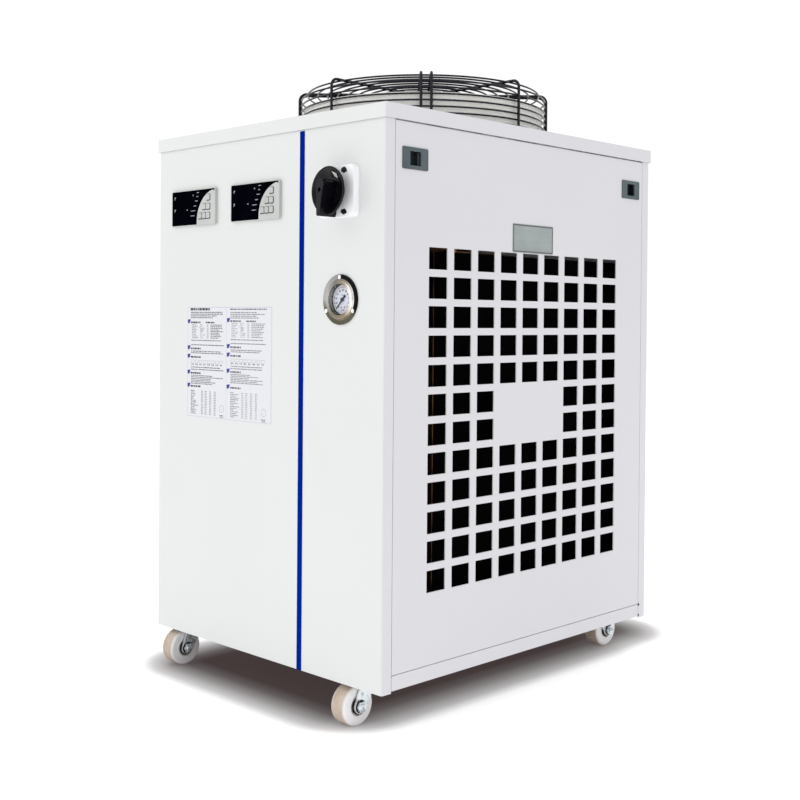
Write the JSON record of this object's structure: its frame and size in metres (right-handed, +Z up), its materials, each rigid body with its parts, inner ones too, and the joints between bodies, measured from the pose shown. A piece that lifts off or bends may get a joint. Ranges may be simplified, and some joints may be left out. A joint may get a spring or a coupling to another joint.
{
  "type": "recirculating chiller",
  "caption": "Air-cooled recirculating water chiller in a white sheet cabinet on casters, with a top fan guard, a side air grille, controllers, a rotary switch and a pressure gauge.",
  "frame": {"origin": "on the floor under the middle of the whole object", "axes": "+Z up, the control panel faces -Y, the air grille faces +X"},
  "size_m": [0.47, 0.6305, 0.832],
  "materials": {
    "white_paint": "fine powder coat",
    "galvanised": "galvanised sheet",
    "zinc_plate": "zinc plated",
    "black_wire": "black coated wire",
    "cream_paint": "satin",
    "black_paint": "satin",
    "black_fins": "matt black",
    "copper": "dull copper",
    "tank_plastic": "moulded",
    "pump_paint": "satin",
    "bezel_grey": "fine matt",
    "window_black": "gloss",
    "key_grey": "matt",
    "switch_white": "gloss",
    "knob_black": "semi-gloss",
    "polished_steel": "polished",
    "dial_white": "matt",
    "needle_black": "matt",
    "lens_glass": "clear",
    "blue_paint": "satin",
    "latch_grey": "fine matt",
    "nylon": "smooth nylon",
    "brass": "machined",
    "black_plastic": "moulded",
    "handle_red": "dipped",
    "screw_steel": "blackened"
  },
  "bodies": {
    "cabinet": {"front_panel": "white_paint", "rear_panel": "white_paint", "right_panel": "white_paint", "left_panel": "white_paint", "top_cover": "white_paint", "base_pan": "white_paint", "top_rails": "galvanised", "electric_box": "galvanised", "caster_plates": "zinc_plate", "fan_guard": "black_wire", "fan_collar": "cream_paint", "fan_motor": "black_paint", "compressor": "black_paint", "condenser_fins": "black_fins", "condenser_coil": "copper", "refrigerant_pipes": "copper", "water_tank": "tank_plastic", "main_pump": "pump_paint", "second_pump": "pump_paint", "controller_bezels": "bezel_grey", "display_windows": "window_black", "switch_plate": "switch_white", "gauge_case": "polished_steel", "gauge_dial": "dial_white", "gauge_lens": "lens_glass", "blue_strip": "blue_paint", "latch_housings": "latch_grey", "water_ports": "brass", "drain_valve": "brass", "fill_neck": "black_plastic", "cable_gland": "black_plastic", "level_gauge": "black_plastic", "screws": "screw_steel"},
    "fan": {"fan_impeller": "black_paint"},
    "knob": {"switch_knob": "knob_black"},
    "needle": {"gauge_needle": "needle_black"},
    "front_latch": {"front_latch_grip": "latch_grey"},
    "rear_latch": {"rear_latch_grip": "latch_grey"},
    "cap": {"fill_cap": "black_plastic"},
    "handle": {"drain_handle": "handle_red"},
    "front_right_fork": {"front_right_fork": "zinc_plate"},
    "front_right_wheel": {"front_right_wheel": "nylon"},
    "front_left_fork": {"front_left_fork": "zinc_plate"},
    "front_left_wheel": {"front_left_wheel": "nylon"},
    "rear_right_fork": {"rear_right_fork": "zinc_plate"},
    "rear_right_wheel": {"rear_right_wheel": "nylon"},
    "rear_left_fork": {"rear_left_fork": "zinc_plate"},
    "rear_left_wheel": {"rear_left_wheel": "nylon"},
    "left_key_1": {"left_key_1": "key_grey"},
    "left_key_2": {"left_key_2": "key_grey"},
    "left_key_3": {"left_key_3": "key_grey"},
    "left_key_4": {"left_key_4": "key_grey"},
    "left_key_5": {"left_key_5": "key_grey"},
    "left_key_6": {"left_key_6": "key_grey"},
    "right_key_1": {"right_key_1": "key_grey"},
    "right_key_2": {"right_key_2": "key_grey"},
    "right_key_3": {"right_key_3": "key_grey"},
    "right_key_4": {"right_key_4": "key_grey"},
    "right_key_5": {"right_key_5": "key_grey"},
    "right_key_6": {"right_key_6": "key_grey"}
  },
  "joints": [
    {"name": "front_right_swivel", "type": "hinge", "parent": "cabinet", "child": "front_right_fork", "pos_m": [0.163, -0.237, 0.066], "axis": [0, 0, 1], "continuous": true},
    {"name": "front_right_spin", "type": "hinge", "parent": "front_right_fork", "child": "front_right_wheel", "pos_m": [0.163, -0.261, 0.025], "axis": [1, 0, 0], "continuous": true},
    {"name": "front_left_swivel", "type": "hinge", "parent": "cabinet", "child": "front_left_fork", "pos_m": [-0.197, -0.237, 0.066], "axis": [0, 0, 1], "continuous": true},
    {"name": "front_left_spin", "type": "hinge", "parent": "front_left_fork", "child": "front_left_wheel", "pos_m": [-0.197, -0.261, 0.025], "axis": [1, 0, 0], "continuous": true},
    {"name": "rear_right_swivel", "type": "hinge", "parent": "cabinet", "child": "rear_right_fork", "pos_m": [0.163, 0.237, 0.066], "axis": [0, 0, 1], "continuous": true},
    {"name": "rear_right_spin", "type": "hinge", "parent": "rear_right_fork", "child": "rear_right_wheel", "pos_m": [0.163, 0.261, 0.025], "axis": [1, 0, 0], "continuous": true},
    {"name": "rear_left_swivel", "type": "hinge", "parent": "cabinet", "child": "rear_left_fork", "pos_m": [-0.197, 0.237, 0.066], "axis": [0, 0, 1], "continuous": true},
    {"name": "rear_left_spin", "type": "hinge", "parent": "rear_left_fork", "child": "rear_left_wheel", "pos_m": [-0.197, 0.261, 0.025], "axis": [1, 0, 0], "continuous": true},
    {"name": "fan_spin", "type": "hinge", "parent": "cabinet", "child": "fan", "pos_m": [0, 0.028, 0.785], "axis": [0, 0, 1], "continuous": true},
    {"name": "knob_turn", "type": "hinge", "parent": "cabinet", "child": "knob", "pos_m": [0.1565, -0.298, 0.652], "axis": [0, 1, 0], "range_deg": [0, 90]},
    {"name": "needle_turn", "type": "hinge", "parent": "cabinet", "child": "needle", "pos_m": [0.1565, -0.278, 0.521], "axis": [0, 1, 0], "range_deg": [0, 270], "stiffness_Nm_per_rad": 0.0005},
    {"name": "front_latch_slide", "type": "slide", "parent": "cabinet", "child": "front_latch", "axis": [0, 1, 0], "range_m": [0, 0.006], "stiffness_N_per_m": 150},
    {"name": "rear_latch_slide", "type": "slide", "parent": "cabinet", "child": "rear_latch", "axis": [0, -1, 0], "range_m": [0, 0.006], "stiffness_N_per_m": 150},
    {"name": "cap_turn", "type": "hinge", "parent": "cabinet", "child": "cap", "pos_m": [-0.13, 0.288, 0.633], "axis": [0, 1, 0], "range_deg": [0, 540]},
    {"name": "drain_turn", "type": "hinge", "parent": "cabinet", "child": "handle", "pos_m": [-0.13, 0.296, 0.1094], "axis": [0, 0, -1], "range_deg": [0, 90]},
    {"name": "left_key_1_press", "type": "slide", "parent": "cabinet", "child": "left_key_1", "axis": [0, 1, 0], "range_m": [0, 0.0006], "stiffness_N_per_m": 200},
    {"name": "left_key_2_press", "type": "slide", "parent": "cabinet", "child": "left_key_2", "axis": [0, 1, 0], "range_m": [0, 0.0006], "stiffness_N_per_m": 200},
    {"name": "left_key_3_press", "type": "slide", "parent": "cabinet", "child": "left_key_3", "axis": [0, 1, 0], "range_m": [0, 0.0006], "stiffness_N_per_m": 200},
    {"name": "left_key_4_press", "type": "slide", "parent": "cabinet", "child": "left_key_4", "axis": [0, 1, 0], "range_m": [0, 0.0006], "stiffness_N_per_m": 200},
    {"name": "left_key_5_press", "type": "slide", "parent": "cabinet", "child": "left_key_5", "axis": [0, 1, 0], "range_m": [0, 0.0006], "stiffness_N_per_m": 200},
    {"name": "left_key_6_press", "type": "slide", "parent": "cabinet", "child": "left_key_6", "axis": [0, 1, 0], "range_m": [0, 0.0006], "stiffness_N_per_m": 200},
    {"name": "right_key_1_press", "type": "slide", "parent": "cabinet", "child": "right_key_1", "axis": [0, 1, 0], "range_m": [0, 0.0006], "stiffness_N_per_m": 200},
    {"name": "right_key_2_press", "type": "slide", "parent": "cabinet", "child": "right_key_2", "axis": [0, 1, 0], "range_m": [0, 0.0006], "stiffness_N_per_m": 200},
    {"name": "right_key_3_press", "type": "slide", "parent": "cabinet", "child": "right_key_3", "axis": [0, 1, 0], "range_m": [0, 0.0006], "stiffness_N_per_m": 200},
    {"name": "right_key_4_press", "type": "slide", "parent": "cabinet", "child": "right_key_4", "axis": [0, 1, 0], "range_m": [0, 0.0006], "stiffness_N_per_m": 200},
    {"name": "right_key_5_press", "type": "slide", "parent": "cabinet", "child": "right_key_5", "axis": [0, 1, 0], "range_m": [0, 0.0006], "stiffness_N_per_m": 200},
    {"name": "right_key_6_press", "type": "slide", "parent": "cabinet", "child": "right_key_6", "axis": [0, 1, 0], "range_m": [0, 0.0006], "stiffness_N_per_m": 200}
  ]
}
